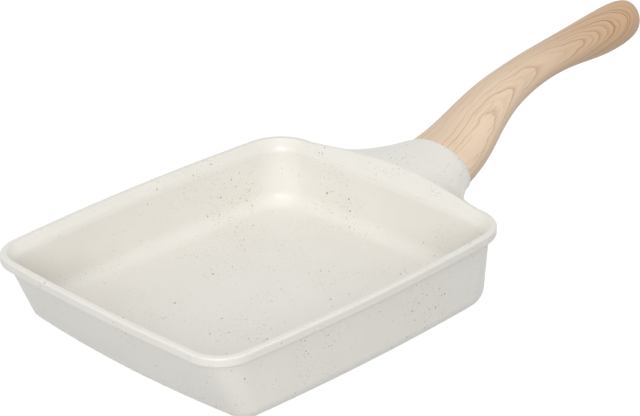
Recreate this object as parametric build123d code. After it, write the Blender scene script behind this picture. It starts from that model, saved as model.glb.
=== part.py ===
"""Rectangular rolled-omelette pan: a coated casting with a wooden handle screwed on.

Millimetres. +Z is up and z = 0 is the surface the pan stands on. The handle
points along +X, and the XZ plane halves the pan.
"""
import os
from math import copysign, cos, radians, sin, sqrt, tan

from build123d import *

# Rim, outside, with the bow of each side
rim_length = 181.0
rim_width = 150.0
pan_height = 36.0
rim_front_bow = 2.6
rim_back_bow = 1.5
rim_side_bow = 4.0
rim_front_corner = 17.0
rim_back_corner = 19.8
rim_lip_height = 4.2
rim_overhang = 3.0
rim_edge_round = 0.8
rim_under_round = 0.8

# Foot of the walls: the lean of the front wall, and how far the foot lies inside the rim
front_wall_lean_angle = 23.75
foot_back_inset = 3.0
foot_side_inset = 4.0
foot_front_bow = 4.8
foot_back_bow = 2.0
foot_side_bow = 2.7
foot_front_corner = 9.5
foot_back_corner = 22.0
foot_round = 6.5
wall_thickness = 2.6
floor_thickness = 4.2
floor_round = 7.0
flare_depth = 4.5
flare_rise = 13.0
flare_run = 8.8
flare_round = 5.0

# Neck between the back wall and the collar, measured from the rim
neck_sink = 1.0
neck_length = 30.9
neck_tip_inset = 19.5
neck_taper = 20.5
neck_crown_rise = 4.0
neck_keel_drop = 23.0
neck_lip = 4.2
neck_lip_sink = 0.15
neck_crease_round = 1.0
neck_flare_power_share = 9.0
neck_lip_power_share = 1.5
neck_fullness_share = 1.0
neck_fullness_power_share = 1.25
neck_station_shares = (-0.3, -0.15, 0.0, 0.03, 0.07, 0.12, 0.19, 0.28, 0.4, 0.55, 0.75, 1.0)
oval_share = 0.5
neck_section_points = 24
full_turn = 360.0

# Collar, where the casting ends and the handle begins
collar_drop = 5.3
collar_half_width = 19.8
collar_half_height = 12.1
collar_tilt_angle = 8.0
collar_edge_round = 0.7

# Tang cast on the collar
tang_length = 25.0
tang_width = 15.0
tang_thickness = 8.6
tang_corner = 2.5
tang_nose_round = 1.5
tang_angle = 24.0
tang_sunk = 6.0
tang_clearance = 0.15

# Handle, its axis drawn from the collar to the tip
grip_reach = 142.0
grip_rise = 35.8
grip_axis_shares = (
    (0.0, 0.0),
    (0.061, 0.098),
    (0.12, 0.225),
    (0.183, 0.392),
    (0.274, 0.592),
    (0.373, 0.72),
    (0.475, 0.802),
    (0.578, 0.845),
    (0.682, 0.862),
    (0.799, 0.88),
    (0.9, 0.925),
    (1.0, 1.0),
)
# Each oval: its place along the axis, its half-width and its half-height, against the collar's
grip_section_shares = (
    (0.0, 1.0, 1.0),
    (0.06, 0.945, 0.92),
    (0.13, 0.867, 0.833),
    (0.2, 0.772, 0.745),
    (0.3, 0.648, 0.683),
    (0.4, 0.56, 0.643),
    (0.5, 0.532, 0.603),
    (0.6, 0.547, 0.605),
    (0.7, 0.578, 0.69),
    (0.8, 0.604, 0.79),
    (0.88, 0.597, 0.806),
    (0.935, 0.53, 0.78),
    (0.97, 0.41, 0.7),
    (0.99, 0.26, 0.5),
)
grip_settle_share = 0.1
grip_tip_round = 2.8
grip_mouth_round = 0.6

# Screw that holds the handle, square to the tang, from below
screw_station = 10.5
screw_shank_radius = 2.5
screw_length = 12.0
screw_head_radius = 4.0
screw_head_height = 2.2
screw_head_round = 0.8
screw_bore_clearance = 0.15
thread_clearance = 0.02
driver_slot_width = 1.1
driver_slot_length = 4.6
driver_slot_depth = 1.2
washer_bore_clearance = 0.2
flat_washer_radius = 4.7
flat_washer_thickness = 0.8
spring_washer_radius = 4.1
spring_washer_thickness = 1.1
spring_washer_gap = 0.9
recess_radius = 5.1
recess_web = 2.0

# Steel base for induction hobs, pressed into the underside and held by pips of the casting
base_length = 118.0
base_width = 104.0
base_thickness = 0.8
base_corner = 16.0
base_centre = 7.0
base_clearance = 0.1
pip_radius = 3.0
pip_clearance = 0.05
pip_pitch = 27.0
pip_columns = 4
pip_rows = 3

# How far cutting solids run past what they cut
overrun = 10.0

os.makedirs("parts", exist_ok=True)


def mix(low, high, share):
    """The value a share of the way from low to high."""
    return low + (high - low) * share


def bowed_outline(front, back, half_width, bows, corners):
    """Closed outline of four bowed sides joined by corner arcs that touch them."""
    front_bow, back_bow, side_bow = bows
    front_corner, back_corner = corners
    middle = (back - front) / 2
    half_length = (back + front) / 2
    side_radius = half_length**2 / (2 * side_bow)
    side_centre = Vector(middle, half_width - side_radius)

    ends = []
    back_sizes = (back, back_bow, back_corner, 1)
    front_sizes = (front, front_bow, front_corner, -1)
    for reach, bow, corner, way in (back_sizes, front_sizes):
        end_radius = half_width**2 / (2 * bow)
        end_centre = Vector(way * (reach - end_radius), 0)
        gap = side_centre - end_centre
        end_leg = end_radius - corner
        side_leg = side_radius - corner
        along = (gap.length**2 + end_leg**2 - side_leg**2) / (2 * gap.length)
        across = sqrt(end_leg**2 - along**2)
        unit = gap.normalized()
        normal = Vector(-unit.Y, unit.X) * way
        corner_centre = end_centre + unit * along + normal * across
        to_end = (corner_centre - end_centre).normalized()
        to_side = (corner_centre - side_centre).normalized()
        on_end = end_centre + to_end * end_radius
        on_side = side_centre + to_side * side_radius
        turn = corner_centre + (to_end + to_side).normalized() * corner
        ends.append((Vector(way * reach, 0), on_end, turn, on_side))

    def across_axis(point):
        return Vector(point.X, -point.Y)

    (back_mid, back_end, back_turn, back_side), (front_mid, front_end, front_turn, front_side) = ends
    side_mid = Vector(middle, half_width)
    arcs = (
        (across_axis(back_end), back_mid, back_end),
        (back_end, back_turn, back_side),
        (back_side, side_mid, front_side),
        (front_side, front_turn, front_end),
        (front_end, front_mid, across_axis(front_end)),
        (across_axis(front_end), across_axis(front_turn), across_axis(front_side)),
        (across_axis(front_side), across_axis(side_mid), across_axis(back_side)),
        (across_axis(back_side), across_axis(back_turn), across_axis(back_end)),
    )
    return make_face([ThreePointArc(*arc) for arc in arcs])


def rim_outline(inset):
    """Outline of the rim, moved in by inset."""
    return bowed_outline(
        rim_length / 2 - inset,
        rim_length / 2 - inset,
        rim_width / 2 - inset,
        (rim_front_bow, rim_back_bow, rim_side_bow),
        (rim_front_corner - inset, rim_back_corner - inset),
    )


def wall_outline(height, inset):
    """Outline of the outside of the walls at a height, moved in by inset."""
    wall_height = pan_height - rim_lip_height
    share = height / wall_height
    foot_front_inset = rim_overhang + wall_height * tan(radians(front_wall_lean_angle))
    return bowed_outline(
        rim_length / 2 - inset - mix(foot_front_inset, rim_overhang, share),
        rim_length / 2 - inset - mix(foot_back_inset, rim_overhang, share),
        rim_width / 2 - inset - mix(foot_side_inset, rim_overhang, share),
        (
            mix(foot_front_bow, rim_front_bow, share),
            mix(foot_back_bow, rim_back_bow, share),
            mix(foot_side_bow, rim_side_bow, share),
        ),
        (
            mix(foot_front_corner, rim_front_corner - rim_overhang, share) - inset,
            mix(foot_back_corner, rim_back_corner - rim_overhang, share) - inset,
        ),
    )


# Walls and rim, still filled
wall_top = pan_height - rim_under_round
pan = loft([wall_outline(0, 0), Pos(0, 0, wall_top) * wall_outline(wall_top, 0)], ruled=True)
pan = fillet(pan.faces().sort_by(Axis.Z)[0].edges(), foot_round)
lip = Pos(0, 0, pan_height - rim_lip_height) * extrude(rim_outline(0), rim_lip_height)
lip = fillet(lip.faces().sort_by(Axis.Z)[0].edges(), rim_under_round)
lip = fillet(lip.faces().sort_by(Axis.Z)[-1].edges(), rim_edge_round)

# Hollow: the walls' inside, flaring to the rim and on up the neck's inner slope
flare_start = pan_height - flare_depth
flare_top = flare_start + flare_rise
hollow = loft(
    [
        Pos(0, 0, floor_thickness) * wall_outline(floor_thickness, wall_thickness),
        Pos(0, 0, flare_start) * wall_outline(flare_start, wall_thickness),
        Pos(0, 0, flare_top) * wall_outline(flare_start, wall_thickness - flare_run),
    ],
    ruled=True,
)
hollow = fillet(hollow.faces().sort_by(Axis.Z)[0].edges(), floor_round)
bend = hollow.edges().filter_by_position(Axis.Z, flare_start, flare_start)
hollow = fillet(bend, flare_round)


neck_start = rim_length / 2 - neck_sink
neck_end = neck_start + neck_length
neck_flare = rim_width / 2 - neck_tip_inset - neck_taper - collar_half_width
collar_height = pan_height - collar_drop


def neck_section(share):
    """Cross-section of the neck a share of the way from the wall to the collar."""
    rest = 1 - max(share, 0)
    half_width = collar_half_width + neck_taper * rest + neck_flare * rest**neck_flare_power_share
    half_lip = neck_lip / 2 * rest**neck_lip_power_share
    fullness = mix(oval_share, neck_fullness_share, rest**neck_fullness_power_share)
    spine = mix(collar_height, pan_height - neck_lip / 2 - neck_lip_sink, rest)
    crown = mix(collar_height + collar_half_height, pan_height + neck_crown_rise, rest)
    keel = mix(collar_height - collar_half_height, pan_height - neck_keel_drop, rest**2)
    tilt = radians(collar_tilt_angle * (1 - rest))
    plane = Plane(
        origin=(mix(neck_start, neck_end, share), 0, spine),
        x_dir=(0, 1, 0),
        z_dir=(cos(tilt), 0, sin(tilt)),
    )

    # The curve starts at the keel, so that its seam runs along the underside
    points = []
    for index in range(neck_section_points):
        turn = radians(full_turn * index / neck_section_points - full_turn / 4)
        height = abs(sin(turn))
        peak = crown - spine if sin(turn) > 0 else spine - keel
        rise = half_lip * sqrt(height) + (peak - half_lip) * height ** (2 * fullness)
        points.append((half_width * cos(turn), copysign(rise, sin(turn))))
    return plane * make_face([Spline(*points, periodic=True)])


# Neck and collar, then the hollow cut through all of them
neck = loft([neck_section(share) for share in neck_station_shares])
neck = fillet(neck.faces().sort_by(Axis.X)[-1].edges(), collar_edge_round)
shell = pan + lip + neck - hollow

# Soft crease where the neck's top meets the slope above the back rim
over_rim = shell.edges().filter_by_position(Axis.X, 0, rim_length / 2 + neck_crease_round)
shell = fillet(over_rim.sort_by(Axis.Z)[-1], neck_crease_round)


def square_to_tang(reach):
    """Plane on the screw's axis, reach below the middle of the tang, facing down."""
    return Plane(
        origin=screw_centre + screw_way * reach,
        x_dir=(0, 1, 0),
        z_dir=screw_way,
    )


def ring(radius, bore, low, high):
    """Disc with a hole on the screw's axis, between two distances below the tang's middle."""
    return extrude(square_to_tang(low) * (Circle(radius) - Circle(bore)), high - low)


def rod(radius, low, high):
    """Cylinder on the screw's axis, between two distances below the tang's middle."""
    return extrude(square_to_tang(low) * Circle(radius), high - low)


# Tang, cast on the collar and tapped for the screw
tang_tilt = radians(tang_angle)
collar_centre = Vector(neck_end, 0, collar_height)
tang_way = Vector(cos(tang_tilt), 0, sin(tang_tilt))
screw_way = Vector(sin(tang_tilt), 0, -cos(tang_tilt))
screw_centre = collar_centre + tang_way * screw_station


def tang_solid(start, stop, clearance):
    """Rounded bar along the tang, larger all round by a clearance."""
    plane = Plane(origin=collar_centre + tang_way * start, x_dir=(0, 1, 0), z_dir=tang_way)
    width = tang_width + 2 * clearance
    thickness = tang_thickness + 2 * clearance
    bar = extrude(plane * RectangleRounded(width, thickness, tang_corner + clearance), stop - start)
    return fillet(bar.faces().sort_by(Axis(collar_centre, tang_way))[-1].edges(), tang_nose_round)


tang = tang_solid(-tang_sunk, tang_length, 0)
tang = tang - rod(screw_shank_radius + thread_clearance, -tang_thickness, tang_thickness)
pan_body = shell + tang

# Pocket in the underside for the steel base, with two crossed grids of pips left standing in it
base_outline = Pos(base_centre, 0, 0) * RectangleRounded(base_length, base_width, base_corner)
pocket_outline = Pos(base_centre, 0, 0) * RectangleRounded(
    base_length + 2 * base_clearance,
    base_width + 2 * base_clearance,
    base_corner + base_clearance,
)
pip_places = [
    Pos(base_centre, 0, 0) * place
    for columns, rows in ((pip_columns, pip_rows), (pip_columns - 1, pip_rows - 1))
    for place in GridLocations(pip_pitch, pip_pitch, columns, rows)
]
pips = Sketch() + [place * Circle(pip_radius) for place in pip_places]
holes = Sketch() + [place * Circle(pip_radius + pip_clearance) for place in pip_places]
pan_body = pan_body - extrude(pocket_outline - pips, base_thickness)
induction_base = extrude(base_outline - holes, base_thickness)

# Handle, lofted along its axis through ovals
grip_axis = Spline(
    *[
        (collar_centre.X + grip_reach * reach, 0, collar_height + grip_rise * rise)
        for reach, rise in grip_axis_shares
    ]
)


def grip_section(share, width_share, height_share):
    """Oval across the handle's axis, leaning with the collar's face at the mouth."""
    way = grip_axis.tangent_at(share)
    settle = min(share / grip_settle_share, 1)
    lean = radians(collar_tilt_angle)
    way = Vector(cos(lean), 0, sin(lean)) * (1 - settle) + way * settle
    plane = Plane(origin=grip_axis.position_at(share), x_dir=(0, 1, 0), z_dir=way)
    return plane * Ellipse(collar_half_width * width_share, collar_half_height * height_share)


grip = loft([grip_section(*shares) for shares in grip_section_shares])
grip_ends = grip.faces().filter_by(GeomType.PLANE).sort_by(Axis.X)
grip = fillet(grip_ends[-1].edges(), grip_tip_round)
grip = fillet(grip.faces().filter_by(GeomType.PLANE).sort_by(Axis.X)[0].edges(), grip_mouth_round)

# Socket for the tang, screw hole and the recess that hides the screw's head
web_start = tang_thickness / 2 + tang_clearance
seat = web_start + recess_web
grip = grip - tang_solid(-tang_sunk, tang_length + tang_clearance, tang_clearance)
grip = grip - rod(screw_shank_radius + screw_bore_clearance, 0, seat)
handle_grip = grip - rod(recess_radius, seat, seat + overrun)

# Screw and washers
washer_bore = screw_shank_radius + washer_bore_clearance
spring_seat = seat + flat_washer_thickness
head_seat = spring_seat + spring_washer_thickness
head_top = head_seat + screw_head_height
flat_washer = ring(flat_washer_radius, washer_bore, seat, spring_seat)
spring_washer = ring(spring_washer_radius, washer_bore, spring_seat, head_seat)
split = Pos(spring_washer_radius / 2, 0) * Rectangle(spring_washer_radius, spring_washer_gap)
spring_washer = spring_washer - extrude(square_to_tang(spring_seat) * split, spring_washer_thickness)
screw_head = rod(screw_head_radius, head_seat, head_top)
head_rim = screw_head.edges().filter_by(GeomType.CIRCLE).sort_by(Axis.Z)[0]
screw_head = fillet(head_rim, screw_head_round)
slot = Rectangle(driver_slot_length, driver_slot_width)
cross = slot + Rot(0, 0, full_turn / 4) * slot
slot_start = head_top - driver_slot_depth
screw_head = screw_head - extrude(square_to_tang(slot_start) * cross, driver_slot_depth)
handle_screw = screw_head + rod(screw_shank_radius, head_seat - screw_length, head_seat)

nodes = {
    "pan_body": pan_body,
    "induction_base": induction_base,
    "handle_grip": handle_grip,
    "handle_screw": handle_screw,
    "spring_washer": spring_washer,
    "flat_washer": flat_washer,
}
for name, shape in nodes.items():
    export_step(shape, f"parts/{name}.step")
    size = shape.bounding_box().size
    print(f"{name}: {len(shape.solids())} solid, {size.X:.1f} x {size.Y:.1f} x {size.Z:.1f} mm")
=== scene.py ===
# %% [markdown]
# A rectangular frying pan with a long curved handle, dressed for a product picture. The
# shapes come from the imported CAD model, already in metres and in the frame used here, so
# this lesson is about camera, finishes and light: a speckled ceramic coat, a pale wooden
# handle and the steel parts underneath.

# %% Load the frame
from math import cos, radians, sin

import bpy
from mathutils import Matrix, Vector

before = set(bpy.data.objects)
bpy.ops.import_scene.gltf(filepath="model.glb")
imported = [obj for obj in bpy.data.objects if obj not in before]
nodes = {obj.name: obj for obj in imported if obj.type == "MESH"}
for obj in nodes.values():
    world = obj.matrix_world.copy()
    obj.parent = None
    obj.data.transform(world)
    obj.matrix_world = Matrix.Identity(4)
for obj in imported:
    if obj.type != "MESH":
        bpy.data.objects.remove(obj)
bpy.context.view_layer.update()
print("nodes:", ", ".join(sorted(nodes)))

# %% [markdown]
# Camera and lamps are placed by angles: a turn round the object, where 0 is the pan's long
# side at negative Y and -90 its front wall at negative X, a height over the horizon, and a
# distance from the point they look at. Each of these changes one thing in the picture, so
# they are easier to mend than typed coordinates.

# %% Helpers for camera and lamps
def way_to(turn, height):
    """The direction towards a place, from its turn and height in degrees."""
    return Vector((
        sin(radians(turn)) * cos(radians(height)),
        -cos(radians(turn)) * cos(radians(height)),
        sin(radians(height)),
    ))


def place_and_aim(thing, target, way, distance):
    """Puts a camera or a lamp at a distance from its target and points it there."""
    thing.location = target + way * distance
    thing.rotation_mode = "QUATERNION"
    thing.rotation_quaternion = (-way).to_track_quat("-Z", "Y")
    bpy.context.scene.collection.objects.link(thing)
    print(thing.name, "at, mm:", [round(c * 1000) for c in thing.location])


# %% [markdown]
# The photograph was taken with a long lens from in front of one of the pan's corners,
# about 26 degrees above the table. Turn, height, distance, target and lens were fitted
# together, until the rim and the handle came within about a millimetre of the
# photograph's. The foot of the front wall is left a little further off.

# %% Camera
view_turn, view_height = -45.76, 25.85
view_distance = 1.1952
view_target = Vector((0.09445, 0.05098, 0.0))
film_width_mm, focal_length_mm = 36.0, 141.92
nearest_seen, farthest_seen = 0.05, 50.0

lens = bpy.data.cameras.new("camera")
lens.sensor_width = film_width_mm
lens.lens = focal_length_mm
lens.clip_start, lens.clip_end = nearest_seen, farthest_seen
camera = bpy.data.objects.new("camera", lens)
place_and_aim(camera, view_target, way_to(view_turn, view_height), view_distance)
bpy.context.scene.camera = camera

# %% [markdown]
# Every finish is a small network of shader nodes. Short helpers keep each network easy to
# read: they start a material, add a node with its settings, work out one sum, stretch a
# range of values to another range, mix two colours, and give a CAD node its finish.

# %% Helpers for finishes
def start_material(name):
    """A new material, its node tree and its main shader."""
    material = bpy.data.materials.new(name)
    material.use_nodes = True
    tree = material.node_tree
    shader = tree.nodes["Principled BSDF"]
    return material, tree, shader


def add_node(tree, kind, inputs=None, **settings):
    """A node of a kind, its settings, and its inputs given as values or as sockets."""
    node = tree.nodes.new(kind)
    for key, value in settings.items():
        setattr(node, key, value)
    for key, value in (inputs or {}).items():
        if isinstance(value, bpy.types.NodeSocket):
            tree.links.new(value, node.inputs[key])
        else:
            node.inputs[key].default_value = value
    return node


def calculate(tree, operation, first, second=0.0, third=0.0):
    """The result socket of one sum."""
    node = add_node(tree, "ShaderNodeMath", {0: first, 1: second, 2: third}, operation=operation)
    return node.outputs[0]


def stretch(tree, value, old_range, new_range, **settings):
    """The result socket of a value taken from one range to another."""
    ends = {
        "Value": value,
        "From Min": old_range[0], "From Max": old_range[1],
        "To Min": new_range[0], "To Max": new_range[1],
    }
    return add_node(tree, "ShaderNodeMapRange", ends, **settings).outputs["Result"]


def blend_colours(tree, share, first, second):
    """The result socket of a mix of two colours."""
    node = add_node(
        tree, "ShaderNodeMix", {"Factor": share, "A": first, "B": second},
        data_type="RGBA", clamp_factor=True,
    )
    return node.outputs["Result"]


def dress(node_name, material):
    """Gives a CAD node its finish."""
    for slot in nodes[node_name].material_slots:
        slot.material = material
    print(node_name, "wears", material.name)


# %% [markdown]
# The casting wears a cream ceramic coat with brown flakes scattered in it. They could be
# painted on a picture, but a rule in space has no seams and stays sharp from close by. A
# Voronoi texture drops one point in each cell of space. A point that draws a lucky number
# becomes a flake, of a size and a strength that it also draws.

# %% Helper for flakes
smallest_flake_share = 0.4
faintest_flake_share = 0.4


def flakes(tree, place, cell, share, largest, luck):
    """A mask of scattered flakes: cell size and largest flake in metres."""
    cells = add_node(
        tree, "ShaderNodeTexVoronoi", {"Vector": place, "Scale": 1 / cell, "Randomness": 1.0},
    )
    draws = add_node(tree, "ShaderNodeSeparateColor", {"Color": cells.outputs["Color"]}).outputs
    chosen = calculate(tree, "LESS_THAN", draws["Red"], calculate(tree, "MULTIPLY", luck, share))
    radius = calculate(
        tree, "MULTIPLY_ADD", draws["Green"],
        (1 - smallest_flake_share) * largest / cell, smallest_flake_share * largest / cell,
    )
    inside = calculate(tree, "LESS_THAN", cells.outputs["Distance"], radius)
    mask = calculate(tree, "MULTIPLY", chosen, inside)
    strength = calculate(
        tree, "MULTIPLY_ADD", draws["Blue"], 1 - faintest_flake_share, faintest_flake_share,
    )
    return calculate(tree, "MULTIPLY", mask, strength)


# %% [markdown]
# On the real pan the flakes gather in loose clusters, with nearly plain coat between them.
# A slow noise is the luck of each place: where it is low, few points become flakes. The
# seed picks one arrangement of clusters out of many. A fast noise shakes the flakes'
# outlines, so that they look like broken chips and not like dots.

# %% Where the flakes gather
cluster_scale, cluster_seed = 34.0, 11.2
scarce, plentiful = 0.06, 1.0
shake_scale, shake_size = 1400.0, 0.0005

coat, tree, shader = start_material("speckled_coat")
place = add_node(tree, "ShaderNodeTexCoord").outputs["Object"]
slow = add_node(
    tree, "ShaderNodeTexNoise",
    {"Vector": place, "W": cluster_seed, "Scale": cluster_scale, "Detail": 3.0, "Roughness": 0.6},
    noise_dimensions="4D",
)
luck = stretch(tree, slow.outputs["Fac"], (0.47, 0.64), (scarce, plentiful))
shake = add_node(tree, "ShaderNodeTexNoise", {"Vector": place, "Scale": shake_scale, "Detail": 1.0})
ragged = add_node(
    tree, "ShaderNodeVectorMath",
    {0: shake.outputs["Color"], 1: (shake_size, shake_size, shake_size), 2: place},
    operation="MULTIPLY_ADD",
).outputs["Vector"]
print("clusters of flakes about", round(1000 / cluster_scale), "mm across, seed", cluster_seed)

# %% [markdown]
# Three kinds of flake lie in the cream: very fine pale ones, small brown ones, and here and
# there a larger dark one. The cream itself isn't quite even, so a faint cloud moves it
# between two near tones.

# %% Colour of the coat
cream_darker, cream_lighter = (0.803, 0.778, 0.72, 1), (0.843, 0.821, 0.768, 1)
cloud_scale = 60.0
kinds_of_flake = (
    {"cell": 0.0009, "share": 0.85, "largest": 0.00028, "shade": (0.56, 0.50, 0.40, 1)},
    {"cell": 0.0022, "share": 0.55, "largest": 0.00042, "shade": (0.36, 0.29, 0.20, 1)},
    {"cell": 0.0065, "share": 0.55, "largest": 0.00062, "shade": (0.16, 0.14, 0.11, 1)},
)

cloud = add_node(tree, "ShaderNodeTexNoise", {"Vector": place, "Scale": cloud_scale, "Detail": 2.0})
colour = blend_colours(tree, cloud.outputs["Fac"], cream_darker, cream_lighter)
for kind in kinds_of_flake:
    mask = flakes(tree, ragged, kind["cell"], kind["share"], kind["largest"], luck)
    colour = blend_colours(tree, mask, colour, kind["shade"])
tree.links.new(colour, shader.inputs["Base Color"])
print("kinds of flake:", len(kinds_of_flake))

# %% [markdown]
# The coat is sprayed, so its skin has a slight grain like the peel of an orange. The grain
# is far too fine to model, so it is a bump, and the same noise makes the gloss uneven. A
# thin clear layer over it gives the soft sheen in the pan's corners.

# %% Skin of the coat
grain_scale = 850.0
grain_strength, grain_height = 0.3, 0.0001
smoothest, roughest = 0.34, 0.48
sheen_share, sheen_roughness = 0.35, 0.3

grain = add_node(
    tree, "ShaderNodeTexNoise",
    {"Vector": place, "Scale": grain_scale, "Detail": 3.0, "Roughness": 0.6},
).outputs["Fac"]
skin = add_node(
    tree, "ShaderNodeBump",
    {"Height": grain, "Strength": grain_strength, "Distance": grain_height},
)
tree.links.new(skin.outputs["Normal"], shader.inputs["Normal"])
satin = stretch(tree, grain, (0.0, 1.0), (smoothest, roughest))
tree.links.new(satin, shader.inputs["Roughness"])
shader.inputs["Coat Weight"].default_value = sheen_share
shader.inputs["Coat Roughness"].default_value = sheen_roughness
dress("pan_body", coat)

# %% [markdown]
# The handle looks like pale ash, sanded and oiled. A plank's figure comes from the growth
# layers of the tree, which its surface cuts at a shallow angle: along the root of the
# handle they show as long streaks, and where it thins and bends they close into nested
# arches. So the layers are worked out in space, and must follow the handle's bend. A
# Float Curve node holds the bend, as shares of the handle's reach and rise, and from it
# come how far along the handle a point is and how far above its axis.

# %% Bend of the handle
grip_start = Vector((0.1204, 0.0, 0.0307))
grip_reach, grip_rise = 0.142, 0.0358
grip_axis_shares = (
    (0.0, 0.0),
    (0.061, 0.098),
    (0.12, 0.225),
    (0.183, 0.392),
    (0.274, 0.592),
    (0.373, 0.72),
    (0.475, 0.802),
    (0.578, 0.845),
    (0.682, 0.862),
    (0.799, 0.88),
    (0.9, 0.925),
    (1.0, 1.0),
)

wood, tree, shader = start_material("pale_ash")
place = add_node(tree, "ShaderNodeTexCoord").outputs["Object"]
apart = add_node(tree, "ShaderNodeSeparateXYZ", {"Vector": place}).outputs
past_start = calculate(tree, "SUBTRACT", apart["X"], grip_start.x)
along = calculate(tree, "DIVIDE", past_start, grip_reach)
bend = add_node(tree, "ShaderNodeFloatCurve", {"Value": along})
for reach_share, rise_share in grip_axis_shares[1:-1]:
    bend.mapping.curves[0].points.new(reach_share, rise_share)
bend.mapping.update()
axis_height = calculate(tree, "MULTIPLY_ADD", bend.outputs["Value"], grip_rise, grip_start.z)
over_axis = calculate(tree, "SUBTRACT", apart["Z"], axis_height)
print("bend of the handle from", len(grip_axis_shares), "points")

# %% [markdown]
# Each point gets a depth in the stack of layers. The stack leans towards the flank on the
# camera's side, and sinks faster and faster on both sides of one place near the root,
# which is what closes the streaks into arches. A slow wave and a fine shiver keep the
# layers from looking ruled.

# %% Stack of growth layers
layer_lean = radians(38)
layer_level_share = 0.3
layer_sink = 0.031
waves = (
    {"scale": 34.0, "drawn_out": (0.5, 1.0, 1.0), "size": 0.0046},
    {"scale": 190.0, "drawn_out": (0.4, 1.0, 1.0), "size": 0.0010},
)

past_level = calculate(tree, "SUBTRACT", along, layer_level_share)
past_level_squared = calculate(tree, "MULTIPLY", past_level, past_level)
sunk = calculate(tree, "MULTIPLY", past_level_squared, layer_sink)
depth = calculate(tree, "MULTIPLY", over_axis, cos(layer_lean))
depth = calculate(tree, "MULTIPLY_ADD", apart["Y"], -sin(layer_lean), depth)
depth = calculate(tree, "SUBTRACT", depth, sunk)
for wave in waves:
    long_way = add_node(tree, "ShaderNodeMapping", {"Vector": place, "Scale": wave["drawn_out"]})
    swell = add_node(
        tree, "ShaderNodeTexNoise",
        {"Vector": long_way.outputs["Vector"], "Scale": wave["scale"], "Detail": 2.0},
    )
    depth = calculate(tree, "MULTIPLY_ADD", swell.outputs["Fac"], wave["size"], depth)
print("layers sink", round(layer_sink * (1 - layer_level_share) ** 2 * 1000, 1), "mm to the tip")

# %% [markdown]
# A year's layer is pale and ends in a thin brown line, where growth slowed before winter.
# Years differ, so each layer's number draws how strong its line is. A power of the draw
# makes most years weak, and a power of the way through the layer makes the line grow
# slowly, before it drops quickly at the end. Towards the tip the lines are darker.

# %% Lines of the layers
layer_thickness = 0.0008
year_power, growth_power = 1.8, 2.6
drop_start = 0.86
root_strength, tip_strength = 0.8, 2.0

count = calculate(tree, "DIVIDE", depth, layer_thickness)
number = calculate(tree, "FLOOR", count)
through = calculate(tree, "FRACT", count)
year = add_node(tree, "ShaderNodeTexWhiteNoise", {"W": number}, noise_dimensions="1D")
year_strength = calculate(tree, "POWER", year.outputs["Value"], year_power)
growth = calculate(tree, "POWER", through, growth_power)
drop = stretch(tree, through, (drop_start, 1.0), (1.0, 0.0), interpolation_type="SMOOTHSTEP")
line = calculate(tree, "MULTIPLY", calculate(tree, "MULTIPLY", growth, drop), year_strength)
to_tip = stretch(
    tree, along, (0.3, 0.85), (root_strength, tip_strength), interpolation_type="SMOOTHSTEP",
)
line = calculate(tree, "MULTIPLY", line, to_tip)
print("layers", layer_thickness * 1000, "mm thick")

# %% [markdown]
# Between the lines, fibres and small open pores run the long way of the handle. They are a
# noise that is squeezed hard across the axis and hardly along it. The strongest fibres are
# darkened as pores.

# %% Fibres and pores
fibres_along, fibres_across = 30.0, 900.0
pore_darkness = 0.45

fibre_way = add_node(tree, "ShaderNodeCombineXYZ", {
    "X": calculate(tree, "MULTIPLY", apart["X"], fibres_along),
    "Y": calculate(tree, "MULTIPLY", apart["Y"], fibres_across),
    "Z": calculate(tree, "MULTIPLY", over_axis, fibres_across),
})
fibres = add_node(
    tree, "ShaderNodeTexNoise", {"Vector": fibre_way.outputs["Vector"], "Scale": 1.0, "Detail": 3.0},
).outputs["Fac"]
pores = stretch(tree, fibres, (0.56, 0.70), (0.0, pore_darkness))
print("fibres about", round(1000 / fibres_along), "mm long")

# %% [markdown]
# The wood is pale at the collar and turns to a darker, warmer brown at the tip. That is
# partly the wood's own colour and partly painted shade, where the tip turns away from the
# lamps. Pores and lines are laid over it, in that order. Sanding and oil leave it satin:
# the fibres move its gloss a little and stand out by a hair.

# %% Colour and gloss of the wood
root_colour, tip_colour_with_painted_shade = (0.77, 0.60, 0.44, 1), (0.63, 0.405, 0.24, 1)
pore_colour, line_colour = (0.60, 0.40, 0.24, 1), (0.38, 0.21, 0.10, 1)
oiled_smoothest, oiled_roughest = 0.38, 0.55
fibre_strength, fibre_height = 0.15, 0.0001

# The darker tip colour is part wood tone and part painted shade.
warmth_and_painted_shade = stretch(tree, along, (0.2, 1.0), (0.0, 1.0), interpolation_type="SMOOTHSTEP")
colour = blend_colours(tree, warmth_and_painted_shade, root_colour, tip_colour_with_painted_shade)
colour = blend_colours(tree, pores, colour, pore_colour)
colour = blend_colours(tree, line, colour, line_colour)
tree.links.new(colour, shader.inputs["Base Color"])
oiled = stretch(tree, fibres, (0.0, 1.0), (oiled_smoothest, oiled_roughest))
tree.links.new(oiled, shader.inputs["Roughness"])
sanded = add_node(
    tree, "ShaderNodeBump",
    {"Height": fibres, "Strength": fibre_strength, "Distance": fibre_height},
)
tree.links.new(sanded.outputs["Normal"], shader.inputs["Normal"])
dress("handle_grip", wood)

# %% [markdown]
# The screw, its washers and the base that lets the pan work on an induction hob are
# stainless steel. Brushing leaves fine parallel scratches, so the roughness follows a
# noise that is squeezed across one direction.

# %% Brushed steel
steel_colour = (0.62, 0.61, 0.59, 1)
scratch_scale, scratch_squeeze = 40.0, (1.0, 60.0, 60.0)
brushed_smoothest, brushed_roughest = 0.25, 0.5

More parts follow.
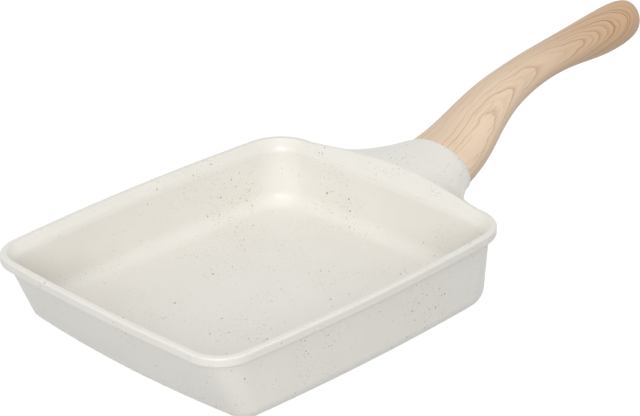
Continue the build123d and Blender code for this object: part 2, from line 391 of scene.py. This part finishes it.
steel, tree, shader = start_material("brushed_steel")
place = add_node(tree, "ShaderNodeTexCoord").outputs["Object"]
squeezed = add_node(tree, "ShaderNodeMapping", {"Vector": place, "Scale": scratch_squeeze})
scratches = add_node(
    tree, "ShaderNodeTexNoise",
    {"Vector": squeezed.outputs["Vector"], "Scale": scratch_scale, "Detail": 3.0},
)
brushed = stretch(
    tree, scratches.outputs["Fac"], (0.0, 1.0), (brushed_smoothest, brushed_roughest),
)
tree.links.new(brushed, shader.inputs["Roughness"])
shader.inputs["Base Color"].default_value = steel_colour
shader.inputs["Metallic"].default_value = 1.0
for steel_node in ("induction_base", "handle_screw", "spring_washer", "flat_washer"):
    dress(steel_node, steel)

# %% [markdown]
# The pan stands on a large pale sheet. Brightening the lamps until it turned white would
# burn out the pan, so its material does it: rays from the camera, and those that see it
# mirrored or through glass, meet a share of it that glows. The rest is ordinary grey
# paint, on which the pan's soft shadow lies and from which a little light comes back.

# %% Floor
def seen_rays(tree):
    """A switch that is 1 for camera, mirror and see-through rays, and 0 for plain light."""
    rays = add_node(tree, "ShaderNodeLightPath").outputs
    switch = calculate(tree, "MAXIMUM", rays["Is Camera Ray"], rays["Is Glossy Ray"])
    return calculate(tree, "MAXIMUM", switch, rays["Is Transmission Ray"])


half_side = 6.0
floor_grey, floor_roughness = (0.42, 0.42, 0.42, 1), 0.9
white = (1, 1, 1, 1)
glow_strength, glow_share = 1.28, 0.75

corners = [
    (-half_side, -half_side, 0),
    (half_side, -half_side, 0),
    (half_side, half_side, 0),
    (-half_side, half_side, 0),
]
floor_mesh = bpy.data.meshes.new("floor")
floor_mesh.from_pydata(corners, [], [(0, 1, 2, 3)])
floor = bpy.data.objects.new("floor", floor_mesh)
bpy.context.scene.collection.objects.link(floor)

paper, tree, shader = start_material("floor_paper")
shader.inputs["Base Color"].default_value = floor_grey
shader.inputs["Roughness"].default_value = floor_roughness
glow = add_node(tree, "ShaderNodeEmission", {"Color": white, "Strength": glow_strength})
share = calculate(tree, "MULTIPLY", seen_rays(tree), glow_share)
mixed = add_node(
    tree, "ShaderNodeMixShader", {0: share, 1: shader.outputs[0], 2: glow.outputs[0]},
)
tree.links.new(mixed.outputs[0], tree.nodes["Material Output"].inputs["Surface"])
floor_mesh.materials.append(paper)
print("floor side, m:", 2 * half_side)

# %% [markdown]
# The light is that of a product tent, which is pale on all sides. The world stands for the
# tent: the same switch as on the floor makes it white where it is seen, and lets it light
# the pan at a lower level of its own.

# %% Surround
surround_level = 0.56

scene = bpy.context.scene
scene.view_settings.view_transform = "Standard"
world = bpy.data.worlds.new("surround")
scene.world = world
world.use_nodes = True
tree = world.node_tree
surround = tree.nodes["Background"]
surround.inputs["Color"].default_value = white
surround_strength = stretch(tree, seen_rays(tree), (0.0, 1.0), (surround_level, 1.0))
tree.links.new(surround_strength, surround.inputs["Strength"])
print("surround lights the pan at", surround_level)

# %% [markdown]
# Three large soft lamps shine into the tent. The strongest stands behind the camera, so
# the hollow of the far corner, which faces it, is the brightest place. One at the
# picture's left adds to the walls that face that way, and one overhead fills the pan's
# floor. Their powers were fitted to the photograph's brightness and then changed a
# little.

# %% Lamps
lamp_distance = 1.5
lamp_target = Vector((0.02, 0.0, 0.02))
lamps = (
    {"name": "overhead", "turn": 0.0, "height": 85.0, "size": 1.2, "power": 3.8},
    {"name": "behind_camera", "turn": -46.0, "height": 24.0, "size": 0.6, "power": 9.2},
    {"name": "left", "turn": -85.0, "height": 25.0, "size": 0.8, "power": 1.8},
)
for lamp in lamps:
    light = bpy.data.lights.new(lamp["name"], "AREA")
    light.size = lamp["size"]
    light.energy = lamp["power"]
    holder = bpy.data.objects.new(lamp["name"], light)
    place_and_aim(holder, lamp_target, way_to(lamp["turn"], lamp["height"]), lamp_distance)
